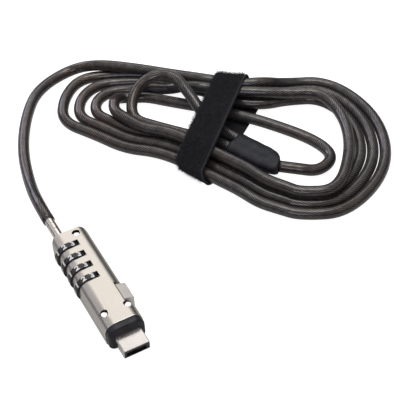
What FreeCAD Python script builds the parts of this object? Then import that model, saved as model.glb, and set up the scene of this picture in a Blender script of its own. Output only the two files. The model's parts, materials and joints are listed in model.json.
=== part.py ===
import FreeCAD, Part
import math
import os

# Combination cable lock that locks into a computer's rectangular data port.
# Row frame: millimetres, +Z up, z = 0 is the table. The lock head's long axis lies along Y, its plug points to -Y,
# its number dials stand out on -X and its release slider on +X. The origin is under the middle of the head.
# The cable leaves the head at +Y and lies on the table as a strapped hank that ends in a crimped eye loop.

V = FreeCAD.Vector
AXIS_X, AXIS_Y, AXIS_Z = V(1, 0, 0), V(0, 1, 0), V(0, 0, 1)

# Lock head: outside
plug_width = 12.0
plug_height = 4.5
plug_wall = 0.3
plug_corner = 0.6
plug_length = 9.0
collar_length = 3.2
collar_inset = 0.35
collar_round = 1.1
housing_length = 58.4
housing_width = 17.6
housing_height = 13.4
top_round = 5.0
bottom_round = 3.6
rear_round = 3.2
head_length = plug_length + collar_length + housing_length
tip_y = -head_length / 2
collar_y = tip_y + plug_length
front_y = collar_y + collar_length
rear_y = front_y + housing_length
half_width = housing_width / 2
plug_z = housing_height / 2
# lengths along the head follow the housing's length, and heights inside it follow its height
lengthwise = housing_length / 58.4
upright = housing_height / 13.4

# Number dials and the code sleeves inside them
dial_count = 4
dial_pitch = 7.1 * lengthwise
dial_width = 3.0 * lengthwise
dial_top_stand = 0.8
dial_side_stand = 1.2
dial_base_gap = 0.3
base_thickness = 0.5
dial_radius = (housing_height + dial_top_stand - base_thickness - dial_base_gap) / 2
dial_numbers = 10
notch_radius = 0.5
notch_depth = 0.32
dial_x = -half_width - dial_side_stand + dial_radius
dial_z = housing_height + dial_top_stand - dial_radius
first_dial_y = front_y + 28.2 * lengthwise
side_gap = 0.3
chamber_gap = 0.3
slot_right_x = 1.75
floor_slot_left = 1.6
floor_slot_right = 3.0
sleeve_radius = 4.0
sleeve_recess_radius = 3.2
sleeve_bore_radius = 2.1
sleeve_length = dial_pitch - 0.3
flange_thickness = 0.7
key_width = 1.2
key_gap = 0.2

# Base cover, pins and nose
base_half_width = 5.0
base_front_y = front_y + 10.0 * lengthwise
base_rear_y = rear_y - 5.0 * lengthwise
base_ledge = 0.6
base_gap = 0.05
base_corner = 0.4
pin_radius = 1.6
pin_recess = 0.7
front_pin_x = 5.5
front_pin_setback = 6.9 * lengthwise
rear_pin_x = 2.9
rear_pin_setback = 3.5 * lengthwise
spigot_length = 8.9 * lengthwise
spigot_gap = 0.05
spigot_half_width = 7.4
spigot_low = 1.7
spigot_high = housing_height - 2.6
spigot_wall = 1.4

# Release slider, its carriage and the spindle that the dials block
release_travel = 1.3
slider_length = 9.4 * lengthwise
slider_front_y = front_y + 10.2 * lengthwise
slider_inner_x = 5.4
slider_outer_x = half_width + dial_side_stand
slider_low_z = 5.2 * upright
slider_top_outer_z = housing_height - 2.0
slider_skin = 1.9
slider_gap = 0.3
slider_edge = 0.45
slot_rear_y = front_y + 20.8 * lengthwise
groove_front_y = front_y + 7.1 * lengthwise
groove_depth = 1.2
groove_height = 4.7
stem_length = 3.6 * lengthwise
stem_low = 0.3
stem_high = 3.1
carriage_length = 7.6 * lengthwise
carriage_front_y = front_y + 14.2 * lengthwise
carriage_left_x = -5.9
carriage_right_x = 4.2
carriage_low = 3.4 * upright
carriage_high = housing_height - 2.6
cavity_gap = 0.3
spindle_radius = 2.0
spindle_gap = 0.08
spindle_seat = 5.0
key_setback = release_travel + 0.15
key_thickness = 0.7
bulkhead_thickness = 0.9

# Locking hooks inside the plug
hook_width = 2.0
hook_spread = 2.9
hook_thickness = 0.6
hook_reach = plug_length + collar_length - 1.0
hook_nib_length = 1.7
hook_nib_depth = 0.95
hook_tail = 4.0
hook_swing = 0.09
window_gap = 0.25
pivot_setback = 3.1
pivot_radius = 0.6
running_gap = 0.05
wedge_half_width = 1.6
wedge_thickness = 1.5
wedge_nose = 2.6

# Springs
spring_wire = 0.55
spring_turns = 4
spring_mean_radius = 2.75
detent_thickness = 0.4
detent_below = 5.5
detent_above = 2.8

# Cable, ferrule and what is on the cable
cable_diameter = 5.7
ferrule_radius = 2.3
ferrule_reach = 15.0
ferrule_flange_radius = 3.1
ferrule_flange_thickness = 1.2
washer_thickness = 0.4
rear_wall = 2.9
sleeve_wall = 0.8
eye_spread = 3.6
strap_width = 15.6
strap_thickness = 1.5


def rounded_section(half, low, high, low_round, high_round, y):
    """Face of the head's outline at one place along Y, with softer corners above than below."""
    def corner(x, z, radius, start):
        mid, end = start + 45, start + 90
        return [V(x + radius * math.cos(math.radians(a)), y, z + radius * math.sin(math.radians(a)))
                for a in (start, mid, end)]
    corners = [corner(half - high_round, high - high_round, high_round, 0),
               corner(-half + high_round, high - high_round, high_round, 90),
               corner(-half + low_round, low + low_round, low_round, 180),
               corner(half - low_round, low + low_round, low_round, 270)]
    edges = []
    for i, points in enumerate(corners):
        edges.append(Part.Arc(*points).toShape())
        after = corners[(i + 1) % 4][0]
        if points[2].distanceToPoint(after) > 1e-6:
            edges.append(Part.LineSegment(points[2], after).toShape())
    return Part.Face(Part.Wire(edges))


def block(x0, x1, y0, y1, z0, z1):
    return Part.makeBox(x1 - x0, y1 - y0, z1 - z0, V(x0, y0, z0))


def rod(radius, y0, y1, x, z):
    return Part.makeCylinder(radius, y1 - y0, V(x, y0, z), AXIS_Y)


def prism(points, y0, y1):
    """Solid with a straight-sided XZ outline, from y0 to y1."""
    ring = [V(x, y0, z) for x, z in points]
    return Part.Face(Part.makePolygon(ring + ring[:1])).extrude(V(0, y1 - y0, 0))


def dial_y(index):
    return first_dial_y + index * dial_pitch


def dial_axis_rod(radius, y0, y1):
    return rod(radius, y0, y1, dial_x, dial_z)


pin_places = [(-front_pin_x, front_y + front_pin_setback), (front_pin_x, front_y + front_pin_setback),
              (rear_pin_x, rear_y - rear_pin_setback)]
sleeve_front_y = dial_y(0) - sleeve_length / 2
sleeve_rear_y = dial_y(dial_count - 1) + sleeve_length / 2
bulkhead_rear_y = sleeve_front_y - 0.3
bulkhead_front_y = bulkhead_rear_y - bulkhead_thickness
carriage_rear_y = carriage_front_y + carriage_length
spigot_rear_y = front_y + spigot_length
pivot_y = front_y + pivot_setback
pivot_z = plug_z - plug_height / 2 + plug_wall + 0.85
flange_rear_y = rear_y - rear_wall - washer_thickness
flange_front_y = flange_rear_y - ferrule_flange_thickness
detent_x = dial_x + dial_radius + chamber_gap + 0.5
bar_top_z = pivot_z + 0.8
wedge_low_z = bar_top_z + 0.3
spring_z = wedge_low_z + wedge_thickness / 2 - 0.15
stem_front_y = carriage_front_y + 0.4


def slider_outline(grow):
    """Cap that wraps the head's upper right corner; a positive grow gives the pocket that it runs in."""
    corner_x = half_width - top_round
    corner_z = housing_height - top_round
    inner_top = corner_z + math.sqrt(top_round ** 2 - (slider_inner_x - corner_x) ** 2)
    return [(slider_inner_x - grow, inner_top - slider_skin - grow),
            (slider_inner_x - grow, inner_top + grow * 8),
            (slider_outer_x + grow * 8, slider_top_outer_z + grow * 8),
            (slider_outer_x + grow * 8, slider_low_z - grow),
            (slider_outer_x - slider_skin - 0.8 - grow, slider_low_z - grow),
            (slider_outer_x - slider_skin - 0.8 - grow, slider_top_outer_z - slider_skin + 0.6 - grow)]


def make_housing():
    body = rounded_section(half_width, 0, housing_height, bottom_round, top_round, front_y)
    body = body.extrude(V(0, housing_length, 0))
    # the rear end is rounded in plan
    plan = block(-half_width, half_width, front_y, rear_y, -1, housing_height + 1)
    corners = [e for e in plan.Edges
               if abs(e.Vertexes[0].Y - rear_y) < 1e-6 and abs(e.Vertexes[1].Y - rear_y) < 1e-6
               and abs(e.Vertexes[0].X - e.Vertexes[1].X) < 1e-6]
    body = body.common(plan.makeFillet(rear_round, corners))
    cuts = []
    for i in range(dial_count):
        y0, y1 = dial_y(i) - dial_width / 2 - side_gap, dial_y(i) + dial_width / 2 + side_gap
        cuts.append(dial_axis_rod(dial_radius + chamber_gap, y0, y1))
        cuts.append(block(-half_width - 2, slot_right_x, y0, y1, dial_z, housing_height + 1))
        cuts.append(block(dial_x - floor_slot_left, dial_x + floor_slot_right, y0, y1, -1, dial_z))
        cuts.append(block(dial_x, detent_x, dial_y(i) - 1.2, dial_y(i) + 1.2, dial_z + 1.3, dial_z + 2.9))
    cuts.append(dial_axis_rod(sleeve_radius + 0.3, bulkhead_rear_y, sleeve_rear_y + 0.3))
    cuts.append(dial_axis_rod(spindle_radius + spindle_gap, bulkhead_front_y - 1, bulkhead_rear_y + 1))
    cavity_low = carriage_low - cavity_gap
    cuts.append(block(carriage_left_x - cavity_gap, carriage_right_x + cavity_gap, spigot_rear_y, bulkhead_front_y,
                      cavity_low, carriage_high + cavity_gap))
    cuts.append(block(-base_half_width + base_ledge, carriage_right_x, base_front_y + base_ledge, bulkhead_front_y, -1,
                      cavity_low + 0.1))
    cuts.append(block(carriage_right_x, slider_outer_x, stem_front_y - release_travel - cavity_gap,
                      stem_front_y + stem_length + cavity_gap, plug_z - stem_low - cavity_gap,
                      plug_z + stem_high + cavity_gap))
    cuts.append(prism(slider_outline(slider_gap), slider_front_y - release_travel - slider_gap, slot_rear_y))
    cuts.append(block(half_width - groove_depth, half_width + 1, groove_front_y, slider_front_y,
                      slider_low_z - slider_gap, slider_low_z - slider_gap + groove_height))
    cuts.append(block(detent_x - 0.2, detent_x + detent_thickness + 0.2, sleeve_front_y, sleeve_rear_y, -1,
                      dial_z + detent_above + 0.3))
    cuts.append(block(-spigot_half_width, spigot_half_width, front_y - 1, spigot_rear_y + 0.1, spigot_low,
                      spigot_high))
    cuts.append(block(-base_half_width, base_half_width, base_front_y, base_rear_y, -1, base_thickness))
    for x, y in pin_places:
        cuts.append(Part.makeCylinder(pin_radius, housing_height + 2, V(x, y, -1)))
    cuts.append(dial_axis_rod(ferrule_radius + running_gap, flange_rear_y, rear_y + 1))
    cuts.append(dial_axis_rod(ferrule_flange_radius + 0.3, flange_front_y - 0.3, rear_y - rear_wall))
    return body.cut(cuts)


def make_base_cover():
    cover = block(-base_half_width + base_gap, base_half_width - base_gap, base_front_y + base_gap,
                  base_rear_y - base_gap, 0, base_thickness)
    corners = [e for e in cover.Edges if abs(e.Vertexes[0].Z - e.Vertexes[1].Z) > 0.1]
    return cover.makeChamfer(base_corner, corners)


def make_nose_collar():
    face = rounded_section(half_width - collar_inset, collar_inset, housing_height - collar_inset,
                           bottom_round - collar_inset, top_round - collar_inset, collar_y)
    nose = face.extrude(V(0, collar_length, 0))
    rim = [e for e in nose.Edges if all(abs(v.Y - collar_y) < 1e-6 for v in e.Vertexes)]
    nose = nose.makeFillet(collar_round, rim)
    spigot = block(-spigot_half_width + spigot_gap, spigot_half_width - spigot_gap, front_y, spigot_rear_y,
                   spigot_low + spigot_gap, spigot_high - spigot_gap)
    body = nose.fuse(spigot).removeSplitter()
    cuts = [block(-plug_width / 2, plug_width / 2, collar_y - 1, shell_rear_y, plug_z - plug_height / 2,
                  plug_z + plug_height / 2),
            block(-4.5, 4.5, shell_rear_y - 0.5, spigot_rear_y - spigot_wall, plug_z - 3.1, plug_z + 2.6),
            block(-wedge_half_width - 0.3, wedge_half_width + 0.3, spigot_rear_y - spigot_wall - 1, spigot_rear_y + 1,
                  wedge_low_z - 0.7, wedge_low_z + wedge_thickness + 0.3)]
    cuts += [Part.makeCylinder(pin_radius, housing_height, V(x, y, 0)) for x, y in pin_places[:2]]
    cuts.append(Part.makeCylinder(pivot_radius, spigot_half_width * 2, V(-spigot_half_width, pivot_y, pivot_z), AXIS_X))
    return body.cut(cuts)


shell_rear_y = front_y + 1.2
window_y = pivot_y - hook_reach + hook_nib_length / 2


def make_usb_shell():
    outer = block(-plug_width / 2, plug_width / 2, tip_y, shell_rear_y, plug_z - plug_height / 2,
                  plug_z + plug_height / 2)
    along = [e for e in outer.Edges if abs(e.Vertexes[0].Y - e.Vertexes[1].Y) > 1]
    outer = outer.makeFillet(plug_corner, along)
    inner = block(-plug_width / 2 + plug_wall, plug_width / 2 - plug_wall, tip_y - 1, shell_rear_y + 1,
                  plug_z - plug_height / 2 + plug_wall, plug_z + plug_height / 2 - plug_wall)
    along = [e for e in inner.Edges if abs(e.Vertexes[0].Y - e.Vertexes[1].Y) > 1]
    inner = inner.makeFillet(plug_corner - plug_wall, along)
    shell = outer.cut(inner)
    half_x, half_y = hook_width / 2 + window_gap, hook_nib_length / 2 + window_gap
    windows = [block(s * hook_spread - half_x, s * hook_spread + half_x, window_y - half_y, window_y + half_y,
                     plug_z - plug_height / 2 - 1, plug_z - plug_height / 2 + plug_wall + 0.1) for s in (-1, 1)]
    return shell.cut(windows)


def make_usb_core():
    top = plug_z + plug_height / 2 - plug_wall
    low = plug_z - plug_height / 2 + plug_wall
    reach = plug_width / 2 - plug_wall
    core = block(-reach, reach, tip_y + 0.5, shell_rear_y - 0.5, plug_z + 0.05, top)
    rail = 1.1
    for side in (-1, 1):
        x0, x1 = sorted((side * (reach - rail), side * reach))
        core = core.fuse(block(x0, x1, tip_y + 0.5, shell_rear_y - 0.5, low, top))
    core = core.removeSplitter()
    along = [e for e in core.Edges if abs(e.Vertexes[0].Y - e.Vertexes[1].Y) > 1
             and abs(abs(e.Vertexes[0].X) - reach) < 1e-6]
    return core.makeChamfer(plug_corner - plug_wall, along)


def make_hooks():
    low = plug_z - plug_height / 2 + plug_wall + 0.1
    bar = block(-4.0, 4.0, pivot_y - 1.2, pivot_y + 1.0, low, bar_top_z)
    bar = bar.fuse(block(-1.4, 1.4, pivot_y, pivot_y + hook_tail, bar_top_z - 0.7, bar_top_z))
    for side in (-1, 1):
        x0, x1 = side * hook_spread - hook_width / 2, side * hook_spread + hook_width / 2
        bar = bar.fuse(block(x0, x1, pivot_y - hook_reach, pivot_y, low, low + hook_thickness))
        nib = [(pivot_y - hook_reach, low), (pivot_y - hook_reach + hook_nib_length, low),
               (pivot_y - hook_reach + hook_nib_length, low - hook_nib_depth),
               (pivot_y - hook_reach + 0.7, low - hook_nib_depth)]
        ring = [V(x0, y, z) for y, z in nib]
        bar = bar.fuse(Part.Face(Part.makePolygon(ring + ring[:1])).extrude(V(hook_width, 0, 0)))
    bore = Part.makeCylinder(pivot_radius + running_gap, 10, V(-5, pivot_y, pivot_z), AXIS_X)
    return bar.removeSplitter().cut(bore)


def make_pivot_pin():
    length = 2 * spigot_half_width - 2 * spigot_gap
    return Part.makeCylinder(pivot_radius, length, V(-length / 2, pivot_y, pivot_z), AXIS_X)


def make_case_pins():
    pins = []
    for x, y in pin_places:
        pin = Part.makeCylinder(pin_radius, housing_height - pin_recess - 0.1, V(x, y, 0.1))
        head = [e for e in pin.Edges if abs(e.BoundBox.ZMin - e.BoundBox.ZMax) < 1e-6 and e.BoundBox.ZMin > 1]
        pins.append(pin.makeFillet(0.35, head))
    return Part.makeCompound(pins)


def make_slider_button():
    cap = prism(slider_outline(0), slider_front_y, slider_front_y + slider_length)
    outer = [e for e in cap.Edges if min(v.X for v in e.Vertexes) > slider_outer_x - 0.01
             or (max(v.Z for v in e.Vertexes) > slider_top_outer_z and abs(e.Vertexes[0].Y - e.Vertexes[1].Y) < 1e-6
                 and min(v.Z for v in e.Vertexes) > slider_top_outer_z - 0.1)]
    cap = cap.makeFillet(slider_edge, outer)
    stem = block(carriage_right_x, slider_outer_x - slider_skin - 0.5, stem_front_y, stem_front_y + stem_length,
                 plug_z - stem_low, plug_z + stem_high)
    return cap.fuse(stem).removeSplitter()


def make_carriage():
    body = block(carriage_left_x, carriage_right_x, carriage_front_y, carriage_rear_y, carriage_low, carriage_high)
    corners = [e for e in body.Edges if abs(e.Vertexes[0].Z - e.Vertexes[1].Z) > 1]
    body = body.makeChamfer(0.6, corners)
    return body.cut(dial_axis_rod(spindle_radius, carriage_rear_y - spindle_seat, carriage_rear_y + 1))


def make_wedge_rod():
    """Rod that tips the hooks: its sloping underside presses their tail as the slider goes forward."""
    tail_end = pivot_y + hook_tail
    drop = hook_tail * hook_swing
    profile = [(pivot_y + wedge_nose, wedge_low_z), (tail_end, wedge_low_z),
               (tail_end + release_travel, wedge_low_z - drop), (carriage_front_y, wedge_low_z - drop),
               (carriage_front_y, wedge_low_z + wedge_thickness), (pivot_y + wedge_nose, wedge_low_z + wedge_thickness)]
    ring = [V(-wedge_half_width, y, z) for y, z in profile]
    return Part.Face(Part.makePolygon(ring + ring[:1])).extrude(V(2 * wedge_half_width, 0, 0))


def make_spindle():
    front = carriage_rear_y - spindle_seat
    shaft = dial_axis_rod(spindle_radius, front, sleeve_rear_y - 0.6)
    reach = sleeve_recess_radius - 0.25
    for i in range(dial_count):
        key_front = dial_y(i) + flange_thickness / 2 + key_setback
        shaft = shaft.fuse(block(dial_x, dial_x + reach, key_front, key_front + key_thickness,
                                 dial_z - key_width / 2, dial_z + key_width / 2))
    return shaft.removeSplitter()


def make_dial(index):
    """Number dial: a ring with a shallow groove between each pair of numbers."""
    y0 = dial_y(index) - dial_width / 2
    ring = dial_axis_rod(dial_radius, y0, y0 + dial_width)
    ring = ring.makeChamfer(0.2, [e for e in ring.Edges if e.BoundBox.YLength < 1e-6])
    grooves = []
    step = 360.0 / dial_numbers
    for n in range(dial_numbers):
        angle = math.radians(90 + n * step)
        away = dial_radius + notch_radius - notch_depth
        grooves.append(rod(notch_radius, y0 - 1, y0 + dial_width + 1, dial_x + away * math.cos(angle),
                           dial_z + away * math.sin(angle)))
    grooves.append(dial_axis_rod(sleeve_radius, y0 - 1, y0 + dial_width + 1))
    return ring.cut(grooves)


def make_code_sleeve(index):
    """Sleeve inside a dial. Its middle flange lets the spindle's key through at one number only."""
    y0, y1 = dial_y(index) - sleeve_length / 2, dial_y(index) + sleeve_length / 2
    sleeve = dial_axis_rod(sleeve_radius, y0, y1)
    half = flange_thickness / 2
    recesses = [dial_axis_rod(sleeve_recess_radius, y0 - 1, dial_y(index) - half),
                dial_axis_rod(sleeve_recess_radius, dial_y(index) + half, y1 + 1),
                dial_axis_rod(sleeve_bore_radius, y0 - 1, y1 + 1),
                block(dial_x, dial_x + sleeve_recess_radius - 0.05, y0 - 1, y1 + 1,
                      dial_z - key_width / 2 - key_gap, dial_z + key_width / 2 + key_gap)]
    return sleeve.cut(recesses)


def make_detent_spring():
    """Comb of spring steel with one finger in each dial chamber."""
    strip = block(detent_x, detent_x + detent_thickness, sleeve_front_y + 0.3, sleeve_rear_y - 0.3,
                  dial_z - detent_below, dial_z + detent_above)
    tip_x = dial_x + dial_radius + 0.05
    for i in range(dial_count):
        finger = block(tip_x, detent_x, dial_y(i) - 0.9, dial_y(i) + 0.9, dial_z + 1.6, dial_z + 2.6)
        strip = strip.fuse(finger)
        if i:
            gap_y = dial_y(i) - dial_pitch / 2
            strip = strip.cut(block(detent_x - 1, detent_x + 2, gap_y - 0.5, gap_y + 0.5, dial_z - 1.5,
                                    dial_z + detent_above + 1))
    return strip.removeSplitter()


def make_swivel_washer():
    washer = dial_axis_rod(ferrule_flange_radius - 0.1, flange_rear_y, rear_y - rear_wall)
    return washer.cut(dial_axis_rod(ferrule_radius + 0.1, flange_rear_y - 1, rear_y))


def make_ferrule():
    stem = dial_axis_rod(ferrule_radius, flange_front_y, rear_y + ferrule_reach)
    flange = dial_axis_rod(ferrule_flange_radius, flange_front_y, flange_rear_y - 0.08)
    body = stem.fuse(flange).removeSplitter()
    # two crimp rings pressed into the tube
    for y in (rear_y + 7.0, rear_y + 11.0):
        ring = dial_axis_rod(ferrule_radius + 1, y, y + 0.8).cut(dial_axis_rod(ferrule_radius - 0.18, y, y + 0.8))
        body = body.cut(ring)
    return body


def biarc(start, start_dir, end, end_dir):
    """Two tangent arcs of equal reach from one point and direction to another."""
    chord = end - start
    spread = 2 * (1 - start_dir.dot(end_dir))
    lean = 2 * chord.dot(start_dir + end_dir)
    if abs(spread) < 1e-9:
        reach = chord.dot(chord) / lean
    else:
        reach = (-lean + math.sqrt(lean * lean + 4 * spread * chord.dot(chord))) / (2 * spread)
    near, far = start + start_dir * reach, end - end_dir * reach
    return (near + far) * 0.5, (far - near).normalize()


def arc_or_line(start, direction, end):
    """Edge that leaves start along direction and reaches end, with its radius and some points along it."""
    chord = end - start
    side = chord - direction * chord.dot(direction)
    if side.Length < 1e-5:
        edge = Part.LineSegment(start, end).toShape()
        return edge, 1e6, [start + chord * (i / 8.0) for i in range(9)]
    radius = chord.dot(chord) / (2 * side.Length)
    across = V(side).normalize()
    centre = start + across * radius
    angle = math.atan2(chord.dot(direction), radius - side.Length) % (2 * math.pi)
    points = [centre - across * radius * math.cos(angle * i / 8.0) + direction * radius * math.sin(angle * i / 8.0)
              for i in range(9)]
    return Part.Arc(start, points[4], end).toShape(), radius, points


def tube_along(edges, radius):
    path = Part.Wire(edges)
    start = path.Edges[0].firstVertex().Point
    direction = path.Edges[0].tangentAt(path.Edges[0].FirstParameter)
    ring = Part.Wire(Part.makeCircle(radius, start, direction))
    shell = Part.BRepOffsetAPI.MakePipeShell(path)
    shell.add(ring)
    shell.build()
    shell.makeSolid()
    solid = shell.shape()
    return solid, path.Length


def wound_tube(nodes, radius):
    """One unbroken tube through nodes of a place and a direction, on pairs of tangent arcs."""
    edges, radii, points = [], [], []
    for (p0, d0), (p1, d1) in zip(nodes, nodes[1:]):
        joint, joint_dir = biarc(p0, d0, p1, d1)
        for a, direction, b in ((p0, d0, joint), (joint, joint_dir, p1)):
            edge, bend, along = arc_or_line(a, direction, b)
            edges.append(edge)
            radii.append(bend)
            points += along[1:]
    solid, length = tube_along(edges, radius)
    return solid, length, radii, points


def free_tube(points, radius):
    """Tube of straight runs joined by tangent arcs, each as large as its two runs allow."""
    corners = [V(*p) for p in points]
    edges, radii, line_start, along = [], [], corners[0], [corners[0]]
    for a, b, c in zip(corners, corners[1:], corners[2:]):
        into, out = V(b - a).normalize(), V(c - b).normalize()
        turn = math.acos(max(-1.0, min(1.0, into.dot(out))))
        cut = 0.45 * min((b - a).Length, (c - b).Length)
        radii.append(cut / math.tan(turn / 2))
        edges.append(Part.LineSegment(line_start, b - into * cut).toShape())
        arc, _, bend = arc_or_line(b - into * cut, into, b + out * cut)
        edges.append(arc)
        along += bend
        line_start = b + out * cut
    edges.append(Part.LineSegment(line_start, corners[-1]).toShape())
    along.append(corners[-1])
    solid, length = tube_along(edges, radius)
    return solid, length, radii, along


def least_gap(points, diameter, skip):
    """Least clear distance between stretches of one tube that are more than skip apart along it."""
    spots, run, last = [(0.0, points[0])], 0.0, points[0]
    for p in points[1:]:
        step = p.distanceToPoint(last)
        parts = max(1, int(step / 1.5))
        for i in range(1, parts + 1):
            spots.append((run + step * i / parts, last + (p - last) * (float(i) / parts)))
        run += step
        last = p
    cells = {}
    for s, p in spots:
        cells.setdefault((int(p.x // 8), int(p.y // 8)), []).append((s, p))
    least = 1e9
    for s, p in spots:
        cx, cy = int(p.x // 8), int(p.y // 8)
        for ix in (cx - 1, cx, cx + 1):
            for iy in (cy - 1, cy, cy + 1):
                for other_s, other in cells.get((ix, iy), ()):
                    if other_s - s > skip:
                        least = min(least, p.distanceToPoint(other))
    return least - diameter


# Hank: its own frame has u along the camera side of the hank, v across it
hank_angle = -26.0
hank_x, hank_y = 93.0, 71.0
hank_loops = 4
hank_pitch = cable_diameter + 0.3
low_z = cable_diameter / 2
high_z = low_z + hank_pitch
strap_lift = strap_thickness + 0.5
right_reach, right_step = 84.6, 6.05
left_reach, left_step = 75.7, 8.5
tip_right_v, tip_left_v = -13.5, 23.5


def on_table(u, v, z):
    """Point of the row frame from the hank's own frame."""
    c, s = math.cos(math.radians(hank_angle)), math.sin(math.radians(hank_angle))
    return V(hank_x + u * c - v * s, hank_y + u * s + v * c, z)


def heading(angle):
    a = math.radians(hank_angle + angle)
    return V(math.cos(a), math.sin(a), 0)


# Runs between the turns: where the outer strand passes, and its direction there
upper_run = [((-24.0, 45.6), -17), ((0.0, 34.8), -23), ((22.0, 29.6), 0), ((46.0, 33.4), 0)]
lower_run = [((43.0, -60.8), 180), ((25.0, -55.0), 152), ((6.0, -40.2), 145), ((-20.0, -19.2), 152),
             ((-50.0, -4.0), 157)]
# Each loop's place in the runs, counted in strands inwards from the outer one, and its height there
upper_place = [(0.7, 0.6, 0.55, 0.0), (0.0, 0.0, 1.04, 1.08), (1.03, 1.07, 2.09, 2.14), (2.06, 1.68, 1.72, 2.5)]
over, under = high_z + strap_lift, low_z + strap_lift
upper_height = [(high_z, over, over, low_z + 0.6), (low_z, under, under, low_z + 0.6),
                (low_z, under, under, low_z + 0.4), (low_z + 1.6, over, over, high_z + 0.6)]
lower_place = [(0, 0, 0, 0, 0), (1.03, 1.05, 1.03, 1.03, 1.03), (2.06, 2.1, 2.06, 2.06, 2.06),
               (1.4, 1.5, 1.55, 1.55, 1.6)]
lower_height = [(low_z, low_z + strap_lift / 2, under, low_z + 0.85 * strap_lift, low_z)] * 3
lower_height += [(high_z, high_z + strap_lift / 2, over, high_z + 0.85 * strap_lift, high_z + 0.2)]
left_shoulder = [((-59.0, 48.2), 6), ((-51.5, 41.9), 4), ((-45.5, 35.6), 0), ((-41.0, 29.4), -4)]
inner_left = (-39.5, 3.6)


def run_node(run, station, place, height):
    (u, v), angle = run[station]
    inward = math.radians(angle - 90)
    step = place * hank_pitch
    return on_table(u + math.cos(inward) * step, v + math.sin(inward) * step, height)


def hank_nodes():
    """Places and directions along the hank, loop by loop from the outside in."""
    nodes = []
    last = hank_loops - 1
    for k in range(hank_loops):
        for i in range(len(upper_run)):
            fixed = heading(upper_run[i][1]) if i == len(upper_run) - 1 else None
            nodes.append([run_node(upper_run, i, upper_place[k][i], upper_height[k][i]), fixed])
        inner = 1 if k == last else 0
        nodes.append([on_table(right_reach - right_step * k, tip_right_v + 2.0 * inner,
                               high_z if inner else low_z), heading(-90)])
        for i in range(len(lower_run)):
            fixed = heading(lower_run[i][1]) if i == 0 else None
            if inner and i == len(lower_run) - 1:
                nodes.append([on_table(inner_left[0], inner_left[1], high_z), None])
            else:
                nodes.append([run_node(lower_run, i, lower_place[k][i], lower_height[k][i]), fixed])
        nodes.append([on_table(-left_reach + left_step * k + 1.4 * inner, tip_left_v - 5.0 * inner,
                               low_z + 5.0 * inner), heading(90)])
        (u, v), angle = left_shoulder[k]
        nodes.append([on_table(u, v, low_z), heading(angle)])
    nodes.append([run_node(upper_run, 0, 3.05, low_z), heading(upper_run[0][1] - 4)])
    nodes[0][1] = heading(upper_run[0][1] - 2)
    for before, here, after in zip(nodes, nodes[1:], nodes[2:]):
        if here[1] is None:
            way = V(here[0] - before[0]).normalize() + V(after[0] - here[0]).normalize()
            way.z = 0
            here[1] = way.normalize()
    return nodes


def route(points):
    return [tuple(on_table(*p)) for p in points]


# Sleeve over the crimp, from where the eye's two legs enter to where the tail leaves
sleeve_start = (10.6, -12.8)
sleeve_end = (31.2, -30.4)
sleeve_z = 5.4
sleeve_exit_angle = -15.0
# Corner points of the free stretches, in the hank's frame
lead_middle = [(-89.3, -30.5, low_z), (-94.5, -6.5, low_z), (-94.5, 19.0, low_z), (-90.0, 40.0, low_z),
               (-73.5, 55.6, low_z), (-58.0, 51.2, 8.8)]
tail_middle = [(1.4, 14.8, under), (15.5, 8.0, under), (27.5, 2.4, under), (50.5, -10.0, low_z),
               (59.0, -23.0, low_z), (50.5, -33.6, 3.6)]
eye_middle = [(-12.4, -1.4, low_z), (-27.6, 5.8, low_z), (-40.2, 12.5, low_z), (-39.5, 24.5, 9.0),
              (-31.0, 32.0, 14.0), (-18.5, 30.9, 16.2), (-10.2, 18.0, 13.6), (-4.0, 7.0, 8.4)]


def make_cable():
    """The cable's four stretches, which meet face to face."""
    r = cable_diameter / 2
    nodes = hank_nodes()
    hank, hank_length, hank_radii, hank_points = wound_tube(nodes, r)
    (first, first_dir), (last, last_dir) = nodes[0], nodes[-1]
    exit_point = V(dial_x, rear_y + ferrule_reach, dial_z)
    lead_points = [tuple(exit_point), tuple(exit_point + V(0, 13.0, 0))] + route(lead_middle)
    lead_points += [tuple(first - first_dir * 13.0), tuple(first)]
    lead, lead_length, lead_radii, lead_along = free_tube(lead_points, r)
    along = V(sleeve_end[0] - sleeve_start[0], sleeve_end[1] - sleeve_start[1], 0).normalize()
    side = V(-along.y, along.x, 0)
    tail_points = [tuple(last), tuple(last + last_dir * 10.0)] + route(tail_middle)
    sleeve_exit = on_table(sleeve_end[0], sleeve_end[1], sleeve_z)
    tail_points += [tuple(sleeve_exit + heading(sleeve_exit_angle) * 8.0), tuple(sleeve_exit)]
    tail, tail_length, tail_radii, tail_along = free_tube(tail_points, r)
    start = V(sleeve_start[0], sleeve_start[1], sleeve_z)
    eye_points = [start - side * eye_spread, start - side * eye_spread - along * 8.0]
    eye_points += [V(*p) for p in eye_middle]
    eye_points += [start + side * eye_spread - along * 9.0, start + side * eye_spread]
    eye, eye_length, eye_radii, eye_along = free_tube(route([tuple(p) for p in eye_points]), r)
    gap = least_gap(hank_points, cable_diameter, 6 * cable_diameter)
    print("hank: %d loops, %.0f mm, least gap to itself %.2f mm, least radius %.1f mm"
          % (hank_loops, hank_length, gap, min(hank_radii)))
    for name, solid, length, radii in (("lead", lead, lead_length, lead_radii), ("tail", tail, tail_length, tail_radii),
                                       ("eye", eye, eye_length, eye_radii), ("hank", hank, hank_length, hank_radii)):
        print("%s: %.0f mm long, volume %.0f against %.0f, radii %s"
              % (name, length, solid.Volume, math.pi * r * r * length, [round(x) for x in radii]))
    print("whole cable %.0f mm" % (hank_length + lead_length + tail_length + eye_length))
    return lead, hank, tail, eye


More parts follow.
